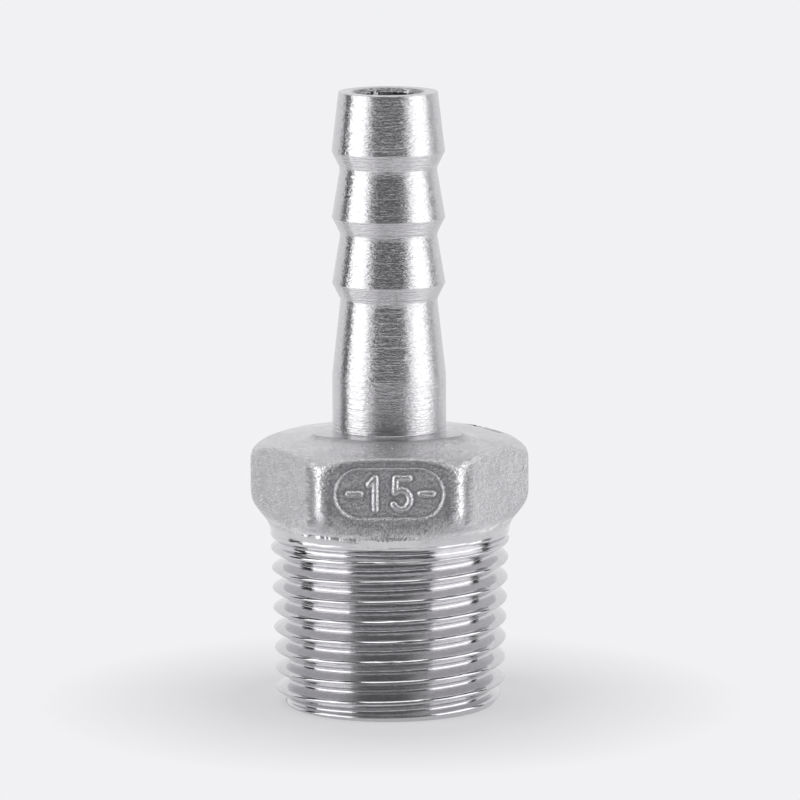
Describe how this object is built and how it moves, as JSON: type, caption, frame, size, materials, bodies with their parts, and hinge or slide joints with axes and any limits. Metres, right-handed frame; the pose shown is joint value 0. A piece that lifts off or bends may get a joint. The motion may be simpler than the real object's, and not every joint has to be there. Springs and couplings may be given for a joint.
{
  "type": "hose barb tail",
  "caption": "Hose barb tail with a barbed spigot, a hexagon for a spanner and a male taper pipe thread, bored right through.",
  "frame": {"origin": "centre of the thread's end face, which the part stands on", "axes": "+Z along the bore, from the thread to the barbed tip; -Y is the hexagon's flat with the marking panel"},
  "size_m": [0.025, 0.0218, 0.055],
  "materials": {
    "stainless_steel": "cast satin hexagon, turned spigot and thread"
  },
  "bodies": {
    "root": {"hose_tail": "stainless_steel"}
  },
  "joints": []
}
